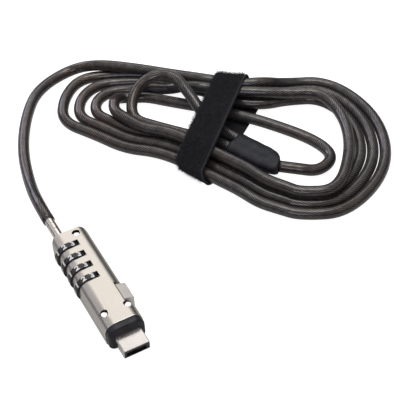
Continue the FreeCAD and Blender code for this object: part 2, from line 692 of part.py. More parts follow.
def oval(centre_u, centre_v, along_angle, half_width_mm, half_height, z):
    """Upright oval wire, square to the sleeve's axis, made of two flats and two half circles."""
    c = on_table(centre_u, centre_v, z)
    side = heading(along_angle + 90)
    flat = half_width_mm - half_height
    up = V(0, 0, half_height)
    a, b = c + side * flat, c - side * flat
    return Part.Wire([Part.LineSegment(b + up, a + up).toShape(),
                      Part.Arc(a + up, a + side * half_height, a - up).toShape(),
                      Part.LineSegment(a - up, b - up).toShape(),
                      Part.Arc(b - up, b - side * half_height, b + up).toShape()])


def sleeve_station(share):
    return (sleeve_start[0] + (sleeve_end[0] - sleeve_start[0]) * share,
            sleeve_start[1] + (sleeve_end[1] - sleeve_start[1]) * share)


def make_eye_sleeve():
    """Heat-shrink sleeve: wide over the two legs, drawn in to one cable at the tail."""
    angle = math.degrees(math.atan2(sleeve_end[1] - sleeve_start[1], sleeve_end[0] - sleeve_start[0]))
    r = cable_diameter / 2
    wide, thin = eye_spread + r + 0.8, r + 0.8
    shape = [(0.0, wide, thin, angle), (0.55, wide + 0.1, thin, angle), (0.8, wide - 1.2, thin - 0.05, angle + 4),
             (1.0, thin + 0.2, thin - 0.1, sleeve_exit_angle)]
    wires = [oval(*sleeve_station(s), turned, w, h, sleeve_z) for s, w, h, turned in shape]
    outer = Part.makeLoft(wires, True, True)
    inside = [oval(*sleeve_station(s), angle, w - 0.7, h - 0.7, sleeve_z) for s, w, h, turned in shape[:2]]
    crimp = Part.makeLoft(inside, True, True)
    pocket_start, pocket_end = sleeve_station(0.12), sleeve_station(0.5)
    middle = ((pocket_start[0] + pocket_end[0]) / 2, (pocket_start[1] + pocket_end[1]) / 2)
    half = math.hypot(pocket_end[0] - pocket_start[0], pocket_end[1] - pocket_start[1]) / 2
    span = Part.makeBox(2 * half, 30, 30, V(-half, -15, -15))
    span.rotate(V(0, 0, 0), AXIS_Z, hank_angle + angle)
    span.translate(on_table(middle[0], middle[1], sleeve_z))
    crimp = crimp.common(span)
    return outer.cut(crimp), crimp


# Strap: a flat ring across both bundles, from one end of its top pass to the other
strap_top = (12.0, 30.0)
strap_bottom = (-11.1, -33.2)
strap_lean = 8.0
strap_inner_height = over + cable_diameter / 2 + 0.5 - strap_thickness


def make_strap():
    """Flat ring of hook-and-loop strap round both bundles of the hank."""
    run = V(strap_top[0] - strap_bottom[0], strap_top[1] - strap_bottom[1], 0)
    angle = math.degrees(math.atan2(run.y, run.x))
    middle = ((strap_top[0] + strap_bottom[0]) / 2, (strap_top[1] + strap_bottom[1]) / 2)
    half = run.Length / 2 + cable_diameter / 2 + 1.2

    def ring(grow):
        inner_half_height = strap_inner_height / 2
        c = on_table(middle[0], middle[1], strap_thickness + inner_half_height)
        side = heading(angle)
        flat = half - inner_half_height
        up = V(0, 0, inner_half_height + grow)
        reach = inner_half_height + grow
        a, b = c + side * flat, c - side * flat
        return Part.Face(Part.Wire([Part.LineSegment(b + up, a + up).toShape(),
                                    Part.Arc(a + up, a + side * reach, a - up).toShape(),
                                    Part.LineSegment(a - up, b - up).toShape(),
                                    Part.Arc(b - up, b - side * reach, b + up).toShape()]))
    band = ring(strap_thickness).cut(ring(0))
    way = heading(angle - 90)
    band.translate(way * (-strap_width / 2))
    ring_solid = band.extrude(way * strap_width)
    # the pass on the table lies further along the hank than the one on top
    slope = strap_lean / (strap_inner_height + strap_thickness)
    height = strap_inner_height + 1.5 * strap_thickness
    lean = FreeCAD.Matrix()
    lean.A13, lean.A14 = -way.x * slope, way.x * slope * height
    lean.A23, lean.A24 = -way.y * slope, way.y * slope * height
    return ring_solid.transformGeometry(lean)


def make_release_spring():
    """Compression spring round the wedge rod, between the nose's spigot and the carriage."""
    start, end = spigot_rear_y + spring_wire / 2 + 0.05, carriage_front_y - spring_wire / 2 - 0.05
    nodes = []
    halves = 2 * spring_turns
    rise = (end - start) / halves
    for i in range(halves + 1):
        s = 1 if i % 2 == 0 else -1
        place = V(0, start + rise * i, spring_z + s * spring_mean_radius)
        way = V(s * math.pi * spring_mean_radius, rise, 0).normalize()
        nodes.append((place, way))
    solid, length, radii, points = wound_tube(nodes, spring_wire / 2)
    return solid


def main():
    os.makedirs("parts", exist_ok=True)
    shapes = {
        "housing_body": make_housing(),
        "base_cover": make_base_cover(),
        "nose_collar": make_nose_collar(),
        "usb_shell": make_usb_shell(),
        "usb_core": make_usb_core(),
        "locking_hooks": make_hooks(),
        "hook_pivot_pin": make_pivot_pin(),
        "case_pins": make_case_pins(),
        "slider_button": make_slider_button(),
        "slider_carriage": make_carriage(),
        "wedge_rod": make_wedge_rod(),
        "spindle": make_spindle(),
        "release_spring": make_release_spring(),
        "detent_spring": make_detent_spring(),
        "swivel_washer": make_swivel_washer(),
        "cable_ferrule": make_ferrule(),
        "hank_strap": make_strap(),
    }
    for i in range(dial_count):
        shapes["dial_%d" % (i + 1)] = make_dial(i)
        shapes["code_sleeve_%d" % (i + 1)] = make_code_sleeve(i)
    shapes["eye_sleeve"], shapes["eye_crimp"] = make_eye_sleeve()
    lead, hank, tail, eye = make_cable()
    shapes.update(cable_lead=lead, cable_hank=hank, cable_tail=tail, cable_eye=eye)
    for name, shape in shapes.items():
        box = shape.BoundBox
        print("%-16s valid %s solids %d volume %.1f x %.2f %.2f y %.2f %.2f z %.2f %.2f"
              % (name, shape.isValid(), len(shape.Solids), shape.Volume, box.XMin, box.XMax, box.YMin, box.YMax,
                 box.ZMin, box.ZMax))
        shape.exportStep("parts/%s.step" % name)


main()
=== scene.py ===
import json
import math

import bmesh
import bpy
from mathutils import Matrix, Vector

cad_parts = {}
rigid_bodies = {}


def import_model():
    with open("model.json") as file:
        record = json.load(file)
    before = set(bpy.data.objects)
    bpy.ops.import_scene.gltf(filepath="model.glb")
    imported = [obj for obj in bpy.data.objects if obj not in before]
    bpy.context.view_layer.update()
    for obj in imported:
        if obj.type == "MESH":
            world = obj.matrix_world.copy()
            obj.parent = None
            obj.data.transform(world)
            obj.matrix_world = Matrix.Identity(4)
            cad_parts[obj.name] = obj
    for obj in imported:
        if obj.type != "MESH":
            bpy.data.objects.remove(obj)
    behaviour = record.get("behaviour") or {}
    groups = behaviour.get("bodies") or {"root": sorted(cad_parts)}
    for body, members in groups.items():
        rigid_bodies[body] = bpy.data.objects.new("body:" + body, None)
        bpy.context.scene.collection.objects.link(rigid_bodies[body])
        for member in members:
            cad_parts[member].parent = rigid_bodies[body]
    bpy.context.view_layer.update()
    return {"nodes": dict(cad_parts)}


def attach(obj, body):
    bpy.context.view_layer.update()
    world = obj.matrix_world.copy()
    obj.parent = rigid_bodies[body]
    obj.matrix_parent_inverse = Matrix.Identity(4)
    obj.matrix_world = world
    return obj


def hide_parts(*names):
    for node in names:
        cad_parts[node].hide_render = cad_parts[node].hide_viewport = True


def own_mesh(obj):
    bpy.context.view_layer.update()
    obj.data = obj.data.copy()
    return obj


mm = 0.001
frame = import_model()
sceneLinks = bpy.context.scene.collection.objects
print("frame loaded:", len(frame["nodes"]), "nodes")


# a socket that can be used in plain sums, in shaders and in geometry trees alike
class Wire:
    def __init__(self, tree, socket):
        self.tree = tree
        self.socket = socket

    def sum(self, operation, *parts):
        return self.tree.add("ShaderNodeMath", {"operation": operation}, list(parts))

    def __add__(self, other):
        return self.sum("ADD", self, other)

    def __radd__(self, other):
        return self.sum("ADD", other, self)

    def __sub__(self, other):
        return self.sum("SUBTRACT", self, other)

    def __rsub__(self, other):
        return self.sum("SUBTRACT", other, self)

    def __mul__(self, other):
        return self.sum("MULTIPLY", self, other)

    def __truediv__(self, other):
        return self.sum("DIVIDE", self, other)

    def __pow__(self, other):
        return self.sum("POWER", self, other)

    def sine(self):
        return self.sum("SINE", self)

    def size(self):
        return self.sum("ABSOLUTE", self)

    def between(self, low, high):  # 0 below low, 1 above high, smooth in the middle
        return self.tree.add("ShaderNodeMapRange", {"interpolation_type": "SMOOTHSTEP"},
                             {"Value": self, "From Min": low, "From Max": high})

    def other(self, key):  # another output of the same node
        return Wire(self.tree, self.socket.node.outputs[key])


# one way to add any node: its type, its settings, then what goes into its sockets
class Tree:
    def __init__(self, nodeTree):
        self.nodeTree = nodeTree

    def add(self, kind, settings=None, sockets=None, output=0):
        node = self.nodeTree.nodes.new(kind)
        for name, value in (settings or {}).items():
            setattr(node, name, value)
        pairs = sockets.items() if isinstance(sockets, dict) else enumerate(sockets or [])
        for key, value in pairs:
            if isinstance(value, Wire):
                self.nodeTree.links.new(value.socket, node.inputs[key])
            elif value is not None:
                node.inputs[key].default_value = value
        return Wire(self, node.outputs[output])

    def apart(self, vector):
        first = self.add("ShaderNodeSeparateXYZ", None, [vector])
        return [first.other(i) for i in range(3)]

    def mixColour(self, factor, first, second):
        return self.add("ShaderNodeMix", {"data_type": "RGBA"}, {0: factor, 6: first, 7: second}, output=2)


# a finish is one material; its base shader is filled in by name
shaderInputs = {"colour": "Base Color", "rough": "Roughness", "metal": "Metallic", "coat": "Coat Weight",
                "coatRough": "Coat Roughness", "sheen": "Sheen Weight", "sheenRough": "Sheen Roughness",
                "specular": "Specular IOR Level", "normal": "Normal"}


class Finish(Tree):
    def __init__(self, name, **surface):
        self.material = bpy.data.materials.new(name)
        self.material.use_nodes = True
        super().__init__(self.material.node_tree)
        self.shader = self.nodeTree.nodes["Principled BSDF"]
        for key, value in surface.items():
            self.put(key, value)

    def put(self, key, value):
        socket = self.shader.inputs[shaderInputs[key]]
        if isinstance(value, Wire):
            self.nodeTree.links.new(value.socket, socket)
        else:
            socket.default_value = value

    def place(self):  # position in the object's own space, in metres
        return self.add("ShaderNodeTexCoord", output=3)

    def stretch(self, scale):
        return self.add("ShaderNodeMapping", None, {"Vector": self.place(), "Scale": scale})

    def noise(self, vector, scale, detail=3.0, rough=0.55):
        return self.add("ShaderNodeTexNoise", None,
                        {"Vector": vector, "Scale": scale, "Detail": detail, "Roughness": rough})

    def bump(self, height, depth, strength=1.0):
        self.put("normal", self.add("ShaderNodeBump", None,
                                    {"Height": height, "Distance": depth, "Strength": strength}))


def rgba(r, g, b):
    return (r, g, b, 1.0)


# the painted highlight on the housing's front rim and the painted shade in the recesses over its case pins,
# in millimetres
caseEdges = {"frontY": -23.1, "rim": 0.32, "rimStart": 0.6, "rimHighlightColour": rgba(0.93, 0.91, 0.88),
             "pins": [(-5.5, -16.2), (5.5, -16.2), (2.9, 31.8)], "pinRadius": 1.63, "pinShade": 0.42,
             "shadeReach": 1.0, "shadeSoft": 0.06, "shadeColour": rgba(0.012, 0.010, 0.009)}


def shadeCase(finish, colour):  # painted highlight along the front edge, painted shade in the recesses over the case pins
    x, y, _ = finish.apart(finish.place())
    rim = caseEdges["rim"] * mm
    # painted highlight: a light band along the housing's front edge
    edge = 1.0 - (y - caseEdges["frontY"] * mm).between(rim * caseEdges["rimStart"], rim)
    colour = finish.mixColour(edge, colour, caseEdges["rimHighlightColour"])
    for pinX, pinY in caseEdges["pins"]:
        # painted shade: a dark crescent in the recess over each case pin
        aside, along = x - pinX * mm, y - pinY * mm
        shade = along.between(0.0, caseEdges["shadeReach"] * mm) * (caseEdges["pinShade"] * mm)
        past = (aside * aside + along * along) ** 0.5 - (shade + caseEdges["pinRadius"] * mm)
        inside = 1.0 - past.between(0.0, caseEdges["shadeSoft"] * mm)
        colour = finish.mixColour(inside, colour, caseEdges["shadeColour"])
    return colour


# metals: fine streaks along the brushing and soft clouds share the colour and the roughness
metalFinish = {"streakShare": 0.55, "streakDetail": 4.0, "cloud": 120.0, "cloudDetail": 2.0,
               "roughSpread": 0.12, "cloudSpread": 0.08, "bump": 0.6}


def satinMetal(name, light, dark, rough, grain, depth, along=(1.0, 0.12, 1.0), metal=1.0, shade=None):
    finish = Finish(name, metal=metal)
    streak = finish.noise(finish.stretch(along), grain, metalFinish["streakDetail"])
    cloud = finish.noise(finish.place(), metalFinish["cloud"], metalFinish["cloudDetail"])
    share = metalFinish["streakShare"]
    colour = finish.mixColour(streak * share + cloud * (1 - share), dark, light)
    finish.put("colour", shade(finish, colour) if shade else colour)
    spread = (streak - 0.5) * metalFinish["roughSpread"] + (cloud - 0.5) * metalFinish["cloudSpread"]
    finish.put("rough", rough + spread)
    finish.bump(streak, depth, metalFinish["bump"])
    return finish.material


evenly = (1.0, 1.0, 1.0)
# the housing's nickel carries the painted highlight on its front rim and the painted shade over its case pins
satinNickel = satinMetal("satinNickel", light=rgba(0.66, 0.62, 0.565), dark=rgba(0.55, 0.515, 0.475),
                         rough=0.34, grain=900.0, depth=0.000012, shade=shadeCase)
sliderNickel = satinMetal("sliderNickel", light=rgba(0.93, 0.89, 0.85), dark=rgba(0.84, 0.80, 0.76),
                          rough=0.46, grain=1100.0, depth=0.00001, along=(0.2, 1.0, 0.2), metal=0.7)
plugSteel = satinMetal("plugSteel", light=rgba(0.73, 0.70, 0.675), dark=rgba(0.63, 0.60, 0.575),
                       rough=0.22, grain=700.0, depth=0.0000025)
pinSteel = satinMetal("pinSteel", light=rgba(0.86, 0.84, 0.80), dark=rgba(0.74, 0.72, 0.68),
                      rough=0.2, grain=1500.0, depth=0.000006, along=evenly)
ferruleSteel = satinMetal("ferruleSteel", light=rgba(0.78, 0.74, 0.69), dark=rgba(0.68, 0.64, 0.60),
                          rough=0.24, grain=500.0, depth=0.0000012, along=(1.0, 0.1, 1.0))
springSteel = satinMetal("springSteel", light=rgba(0.60, 0.60, 0.61), dark=rgba(0.45, 0.45, 0.46),
                         rough=0.28, grain=900.0, depth=0.000006)
turnedBrass = satinMetal("turnedBrass", light=rgba(0.80, 0.62, 0.32), dark=rgba(0.64, 0.47, 0.22),
                         rough=0.3, grain=900.0, depth=0.000006, along=evenly)
pressedAluminium = satinMetal("pressedAluminium", light=rgba(0.78, 0.78, 0.78),
                              dark=rgba(0.62, 0.62, 0.63), rough=0.38, grain=600.0, depth=0.000008)

# plastics and rubber
plasticFinish = {"grainDetail": 3.0, "grainRough": 0.6, "cloud": 260.0, "cloudDetail": 2.0, "cloudLow": 0.35,
                 "cloudHigh": 0.75, "roughSpread": 0.2, "bump": 0.7}


def grainedPlastic(name, dark, light, rough, grain, depth, specular=0.5):
    finish = Finish(name, specular=specular)
    speck = finish.noise(finish.place(), grain, plasticFinish["grainDetail"], plasticFinish["grainRough"])
    cloud = finish.noise(finish.place(), plasticFinish["cloud"], plasticFinish["cloudDetail"])
    worn = cloud.between(plasticFinish["cloudLow"], plasticFinish["cloudHigh"])
    finish.put("colour", finish.mixColour(worn, dark, light))
    finish.put("rough", rough + (speck - 0.5) * plasticFinish["roughSpread"])
    finish.bump(speck, depth, plasticFinish["bump"])
    return finish.material


collarPlastic = grainedPlastic("collarPlastic", dark=rgba(0.014, 0.014, 0.018),
                               light=rgba(0.030, 0.030, 0.037), rough=0.42, grain=2600.0, depth=0.00002,
                               specular=0.35)
tonguePlastic = grainedPlastic("tonguePlastic", dark=rgba(0.05, 0.05, 0.054), light=rgba(0.09, 0.09, 0.096),
                               rough=0.5, grain=2000.0, depth=0.000015)
dialPlastic = grainedPlastic("dialPlastic", dark=rgba(0.012, 0.012, 0.014), light=rgba(0.03, 0.03, 0.033),
                             rough=0.34, grain=2400.0, depth=0.000012)
numberPaint = grainedPlastic("numberPaint", dark=rgba(0.80, 0.80, 0.79), light=rgba(0.92, 0.92, 0.91),
                             rough=0.5, grain=3000.0, depth=0.00001)
shrinkRubber = grainedPlastic("shrinkRubber", dark=rgba(0.012, 0.013, 0.019), light=rgba(0.024, 0.026, 0.034),
                              rough=0.50, grain=1500.0, depth=0.00004, specular=0.30)

# smoked jacket over twisted strands; the pattern follows the cable's own map, metres along and turns round
jacketFinish = {"strands": 17, "lay": 32.0, "strandGap": 0.00118, "depth": 0.00012, "bump": 0.5,
                "smoke": rgba(0.003, 0.003, 0.003), "strand": rgba(0.255, 0.230, 0.230),
                "brown": rgba(0.255, 0.187, 0.160), "coat": 1.0, "coatRough": 0.11, "specular": 0.15,
                "metal": 0.8, "rough": 0.46, "shineRough": 0.10, "cloudRough": 0.1}
# the noise in it, as size and detail: strands waver and fade, stretches are dull or bright, some are brown
jacketNoise = {"waver": (90.0, 2.0), "fade": (320.0, 3.0), "cloud": (45.0, 2.0), "brown": (28.0, 2.0)}
# how far the strands waver, where each range starts and ends, and how much the ridges and the stretches count
jacketShine = {"waver": 1.2, "ridge": (0.50, 1.05), "fade": (0.38, 0.60), "brown": (0.40, 0.62),
               "fadeShare": 0.7, "ridgeShare": 0.82, "groove": 0.09, "cloudShare": 1.25, "dullest": 0.15}


def smokedJacket():
    plan, glint = jacketFinish, jacketShine
    finish = Finish("smokedJacket", coat=plan["coat"], coatRough=plan["coatRough"], specular=plan["specular"])
    along, around, _ = finish.apart(finish.add("ShaderNodeUVMap", {"uv_map": "cableMap"}))
    rate = math.sin(math.radians(plan["lay"])) / plan["strandGap"]
    waver, fade, cloud, browning = [finish.noise(finish.place(), *jacketNoise[key])
                                    for key in ("waver", "fade", "cloud", "brown")]
    turns = around * float(plan["strands"]) - along * rate + waver * glint["waver"]
    ridge = (turns * (2 * math.pi)).sine() * 0.5 + 0.5
    kept = fade.between(*glint["fade"]) * glint["fadeShare"] + (1 - glint["fadeShare"])
    shine = ridge.between(*glint["ridge"]) * kept
    strand = finish.mixColour(browning.between(*glint["brown"]), plan["strand"], plan["brown"])
    bright = shine * glint["ridgeShare"] + glint["groove"]
    bright = bright * (cloud * glint["cloudShare"] + glint["dullest"])
    finish.put("colour", finish.mixColour(bright, plan["smoke"], strand))
    finish.put("metal", shine * plan["metal"])
    finish.put("rough", plan["rough"] - shine * plan["shineRough"] + (cloud - 0.5) * plan["cloudRough"])
    finish.bump(ridge, plan["depth"], plan["bump"])
    return finish.material


jacket = smokedJacket()

# brushed strap fabric: fine tufts and wider patches
pileFinish = {"tuft": (1800.0, 4.0, 0.7), "patch": (320.0, 3.0), "light": (0.35, 0.7), "tuftShare": 0.6,
              "bumpShare": 0.7, "depth": 0.00022, "bump": 0.9}


def pileFabric(name, dark, light):
    finish = Finish(name, rough=0.95, sheen=0.08, sheenRough=0.5, specular=0.1)
    tuft = finish.noise(finish.place(), *pileFinish["tuft"])
    patch = finish.noise(finish.place(), *pileFinish["patch"])
    share, bumpShare = pileFinish["tuftShare"], pileFinish["bumpShare"]
    lit = tuft.between(*pileFinish["light"]) * share + patch * (1 - share)
    finish.put("colour", finish.mixColour(lit, dark, light))
    finish.bump(tuft * bumpShare + patch * (1 - bumpShare), pileFinish["depth"], pileFinish["bump"])
    return finish.material


strapFabric = pileFabric("strapFabric", dark=rgba(0.007, 0.007, 0.009), light=rgba(0.034, 0.034, 0.040))
strapFibre = pileFabric("strapFibre", dark=rgba(0.016, 0.016, 0.019), light=rgba(0.075, 0.075, 0.084))
strapEdgeThread = pileFabric("strapEdgeThread", dark=rgba(0.04, 0.04, 0.045), light=rgba(0.10, 0.10, 0.108))
print("finishes ready:", len(bpy.data.materials))


# mesh helpers
mergeGap = 1e-7


def keepMesh(name, mesh, material=None):
    made = bpy.data.objects.new(name, mesh)
    sceneLinks.link(made)
    if material is not None:
        mesh.materials.clear()
        mesh.materials.append(material)
    return made


def meshFrom(name, points, faces, material, smooth=True):
    mesh = bpy.data.meshes.new(name)
    mesh.from_pydata([tuple(p) for p in points], [], faces)
    for face in mesh.polygons:
        face.use_smooth = smooth
    return keepMesh(name, mesh, material)


def outward(made):  # merge doubles, then turn every face outwards
    shape = bmesh.new()
    shape.from_mesh(made.data)
    bmesh.ops.remove_doubles(shape, verts=shape.verts, dist=mergeGap)
    bmesh.ops.recalc_face_normals(shape, faces=shape.faces)
    shape.to_mesh(made.data)
    shape.free()
    return made


def ringMesh(name, rings, material, closedEnds=True):  # skin over a row of equal rings of points
    count = len(rings[0])
    faces = []
    for i in range(len(rings) - 1):
        for j in range(count):
            k = (j + 1) % count
            faces.append((i * count + j, i * count + k, (i + 1) * count + k, (i + 1) * count + j))
    if closedEnds:
        last = (len(rings) - 1) * count
        faces += [tuple(range(count - 1, -1, -1)), tuple(last + j for j in range(count))]
    return meshFrom(name, [p for ring in rings for p in ring], faces, material)


def flatMesh(made):  # the evaluated object as a mesh of its own; the object goes
    bpy.context.view_layer.update()
    flat = bpy.data.meshes.new_from_object(made.evaluated_get(bpy.context.evaluated_depsgraph_get()))
    bpy.data.objects.remove(made)
    return flat


def settle(made):  # the same object with its modifier gone into the mesh
    name = made.name
    return keepMesh(name, flatMesh(made))


# the cable's route: control points in the hank's own frame, millimetres
hankPlace = {"angle": -26.0, "x": 93.0, "y": 71.0}


def onHank(u, v, z):
    a = math.radians(hankPlace["angle"])
    return Vector((hankPlace["x"] + u * math.cos(a) - v * math.sin(a),
                   hankPlace["y"] + u * math.sin(a) + v * math.cos(a), z)) * mm


leadExit = [(-3.3, 50.3, 7.5), (-3.3, 63.3, 7.5)]  # in the part's own frame, straight out of the ferrule
leadRoute = [(-89.3, -30.5, 2.85), (-94.5, -6.5, 2.85), (-94.5, 19.0, 2.85), (-90.0, 40.0, 2.85),
             (-73.5, 55.6, 2.85), (-58.0, 51.2, 8.8), (-37.5, 45.8, 8.85)]
hankRoute = [
    # outer loop: over the far bundle, round the right end, back along the near side, round the left end
    (-19.1, 39.5, 8.85), (-7.6, 33.5, 10.85), (4.4, 29.6, 10.85), (15.9, 26.1, 10.85), (29.1, 26.5, 10.85),
    (38.9, 33.4, 3.45), (63.9, 33.4, 3.45), (84.6, 4.4, 2.85), (84.6, -32.0, 2.85), (61.5, -60.8, 2.85),
    (38.2, -60.8, 2.85), (29.3, -57.3, 3.9), (19.6, -52.2, 3.9), (10.8, -44.0, 4.85), (-0.6, -35.0, 4.85),
    (-13.0, -23.7, 4.5), (-27.1, -14.6, 4.5), (-43.2, -9.1, 2.85), (-58.2, 2.2, 2.85), (-75.7, 13.2, 2.85),
    (-75.7, 32.1, 2.85), (-67.6, 47.3, 2.85), (-50.2, 49.1, 2.85), (-32.6, 47.8, 2.85),
    # second loop
    (-17.6, 44.0, 2.85), (-6.0, 37.7, 4.85), (5.7, 32.0, 4.85), (15.8, 24.4, 4.85), (28.2, 22.3, 4.85),
    (39.7, 26.9, 3.45), (61.3, 26.9, 3.45), (78.5, 1.8, 2.85), (78.5, -29.5, 2.85), (59.0, -54.6, 2.85),
    (38.9, -54.6, 2.85), (31.5, -51.4, 3.9), (22.8, -46.6, 3.9), (14.1, -38.8, 4.85), (2.8, -29.8, 4.85),
    (-9.9, -18.4, 4.5), (-24.4, -9.1, 4.5), (-40.7, -3.6, 2.85), (-53.9, 6.6, 2.85), (-67.2, 15.5, 2.85),
    (-67.2, 30.5, 2.85), (-58.5, 41.4, 2.85), (-45.0, 42.4, 2.85), (-32.1, 41.4, 2.85),
    # third loop
    (-19.5, 38.0, 2.85), (-8.4, 31.7, 4.85), (3.7, 25.9, 4.85), (15.2, 18.1, 4.85), (28.2, 16.1, 4.85),
    (39.7, 20.6, 3.2), (58.7, 20.6, 3.2), (72.5, -0.8, 2.85), (72.5, -26.9, 2.85), (56.4, -48.4, 2.85),
    (39.7, -48.4, 2.85), (33.8, -45.5, 3.9), (26.0, -41.1, 3.9), (17.5, -33.6, 4.85), (6.2, -24.7, 4.85),
    (-6.8, -13.0, 4.5), (-21.6, -3.5, 4.5), (-38.3, 1.9, 2.85), (-49.6, 10.9, 2.85), (-58.7, 17.8, 2.85),
    (-58.7, 28.7, 2.85), (-50.7, 35.6, 2.85), (-41.0, 35.6, 2.85), (-32.1, 34.8, 4.5),
    # inner loop, which lies on the others at the right end
    (-21.1, 32.3, 4.5), (-10.4, 27.4, 10.85), (2.5, 23.6, 10.85), (15.4, 20.2, 10.85), (28.0, 18.5, 10.85),
    (40.0, 18.4, 9.4), (56.7, 18.4, 9.4), (66.5, -0.8, 8.85), (66.4, -25.7, 8.85), (57.2, -52.4, 8.85),
    (39.2, -52.4, 8.85), (32.5, -49.0, 9.8), (24.2, -44.2, 9.8), (15.8, -36.2, 10.85), (4.6, -27.2, 10.85),
    (-8.6, -16.0, 10.5), (-21.5, -6.9, 10.5), (-34.5, -1.4, 8.85), (-42.8, 6.9, 8.85), (-48.8, 13.9, 7.85),
    (-48.8, 23.0, 7.85), (-45.5, 29.7, 2.85), (-38.0, 29.2, 2.85), (-32.1, 29.2, 2.85)]
# from under the strap out to the right, round and back into the sleeve
tailRoute = [(-20.0, 24.5, 2.85), (1.4, 14.8, 4.85), (15.5, 8.0, 4.85), (27.5, 2.4, 4.85),
             (50.5, -10.0, 2.85), (59.0, -23.0, 2.85), (50.5, -33.6, 3.6), (38.9, -32.5, 5.4),
             (31.2, -30.4, 5.4)]
# the eye: out of the sleeve, along the table, up in an arch and back
eyeRoute = [(8.3, -15.5, 5.4), (2.2, -10.3, 5.4), (-12.4, -1.4, 2.85), (-27.6, 5.8, 2.85),
            (-40.2, 12.5, 2.85), (-39.5, 24.5, 9.0), (-31.0, 32.0, 14.0), (-18.5, 30.9, 16.2),
            (-10.2, 18.0, 13.6), (-4.0, 7.0, 8.4), (6.1, -4.2, 5.4), (12.9, -10.1, 5.4)]

cableStock = {"radius": 2.85, "sides": 22, "smoothness": 10, "eyeSmoothness": 16}


def smoothLine(name, controls, smoothness):  # points read from the route's own smooth line
    curve = bpy.data.curves.new(name, "CURVE")
    curve.dimensions = "3D"
    curve.resolution_u = smoothness
    spline = curve.splines.new("NURBS")
    spline.points.add(len(controls) - 1)
    for point, place in zip(spline.points, controls):
        point.co = (*place, 1.0)
    spline.order_u = 3
    spline.use_endpoint_u = True
    flat = flatMesh(keepMesh(name, curve))
    line = [v.co.copy() for v in flat.vertices]
    bpy.data.meshes.remove(flat)
    return line


def lineFrames(line):  # a direction and two cross directions at each point, turned as little as possible
    steps = [(line[min(i + 1, len(line) - 1)] - line[max(i - 1, 0)]).normalized() for i in range(len(line))]
    across = steps[0].orthogonal().normalized()
    frames = []
    for step in steps:
        across = (across - step * across.dot(step)).normalized()
        frames.append((step, across, step.cross(across)))
    return frames


def tubeRings(line, radius, sides):  # round rings along a line
    rings = []
    for place, (step, across, up) in zip(line, lineFrames(line)):
        turns = [2 * math.pi * j / sides for j in range(sides)]
        rings.append([place + (across * math.cos(a) + up * math.sin(a)) * radius for a in turns])
    return rings


def cableTube(name, line, radius, sides, material):  # a tube with a map: metres along, turns round
    made = ringMesh(name, tubeRings(line, radius, sides), material)
    run = [0.0]
    for a, b in zip(line, line[1:]):
        run.append(run[-1] + (b - a).length)
    chart = made.data.uv_layers.new(name="cableMap")
    for face in made.data.polygons:
        for loop, corner in zip(face.loop_indices, face.vertices):
            i, j = divmod(corner, sides)
            turn = j / sides
            if len(face.vertices) == 4 and j == 0 and any(v % sides == sides - 1 for v in face.vertices):
                turn = 1.0
            chart.data[loop].uv = (run[i], turn)
    return made, run[-1]


cableControls = [Vector(p) * mm for p in leadExit] + [onHank(*p) for p in leadRoute + hankRoute + tailRoute]
cableLine = smoothLine("cableLine", cableControls, cableStock["smoothness"])
eyeLine = smoothLine("eyeLine", [onHank(*p) for p in eyeRoute], cableStock["eyeSmoothness"])
(securityCable, cableLength), (eyeLoop, eyeLength) = [
    cableTube(name, line, cableStock["radius"] * mm, cableStock["sides"], jacket)
    for name, line in (("securityCable", cableLine), ("eyeLoop", eyeLine))]
print("cable %.0f mm and eye %.0f mm" % (cableLength / mm, eyeLength / mm))


# heat-shrink sleeve over the crimp: two cables wide, drawn in to one round shoulder at the tail
sleeveShape = {"start": (10.6, -12.8), "end": (31.2, -30.4), "height": 5.4, "wide": 7.2, "thin": 3.6,
               "stations": 34, "round": 44, "exitAngle": -15.0, "turnFrom": 0.72, "turnPower": 1.3,
               "shoulderFrom": 0.54, "shoulderPower": 2.2, "overCable": 0.75, "thinner": 0.04,
               "sidePower": 0.86, "topPower": 0.72, "waist": 0.35, "waistHalf": 1.7,
               "sideWave": (0.10, 23.0, 0.0), "topWave": (0.05, 31.0, 1.0), "edge": 0.02, "edgeIn": -0.12}
# the turned-in lips at both ends: place along the sleeve and how far in
sleeveLips = {"front": [(0.05, -0.75), (0.012, -0.6), (0.0, -0.35)], "rear": [(1.0, -0.35), (0.985, -0.6)]}


def sleeveWave(key, share):
    high, rate, start = sleeveShape[key]
    return high * math.sin(share * rate + start)


def sleeveRing(share, grow=0.0):
    (u0, v0), (u1, v1) = sleeveShape["start"], sleeveShape["end"]
    base = math.degrees(math.atan2(v1 - v0, u1 - u0))
    turnFrom, shoulderFrom = sleeveShape["turnFrom"], sleeveShape["shoulderFrom"]
    turned = max(0.0, (share - turnFrom) / (1 - turnFrom)) ** sleeveShape["turnPower"]
    past = max(0.0, min(1.0, (share - shoulderFrom) / (1 - shoulderFrom)))
    squeeze = 1.0 - (1.0 - past ** sleeveShape["shoulderPower"]) ** 0.5
    half = sleeveShape["wide"] * (1 - squeeze) + (cableStock["radius"] + sleeveShape["overCable"]) * squeeze
    half += sleeveWave("sideWave", share) * (1 - squeeze) + grow
    tall = sleeveShape["thin"] * (1 - sleeveShape["thinner"] * squeeze) + sleeveWave("topWave", share) + grow
    centre = onHank(u0 + (u1 - u0) * share, v0 + (v1 - v0) * share, sleeveShape["height"])
    side = math.radians(hankPlace["angle"] + base + (sleeveShape["exitAngle"] - base) * turned + 90)
    side = Vector((math.cos(side), math.sin(side), 0))
    ring = []
    for j in range(sleeveShape["round"]):
        a = 2 * math.pi * j / sleeveShape["round"]
        c, s = math.cos(a), math.sin(a)
        x = half * math.copysign(abs(c) ** sleeveShape["sidePower"], c)
        dip = sleeveShape["waist"] * (1 - squeeze) * math.exp(-(x / sleeveShape["waistHalf"]) ** 2)
        z = (tall - dip) * math.copysign(abs(s) ** sleeveShape["topPower"], s)
        ring.append(centre + side * x * mm + Vector((0, 0, z * mm)))
    return ring


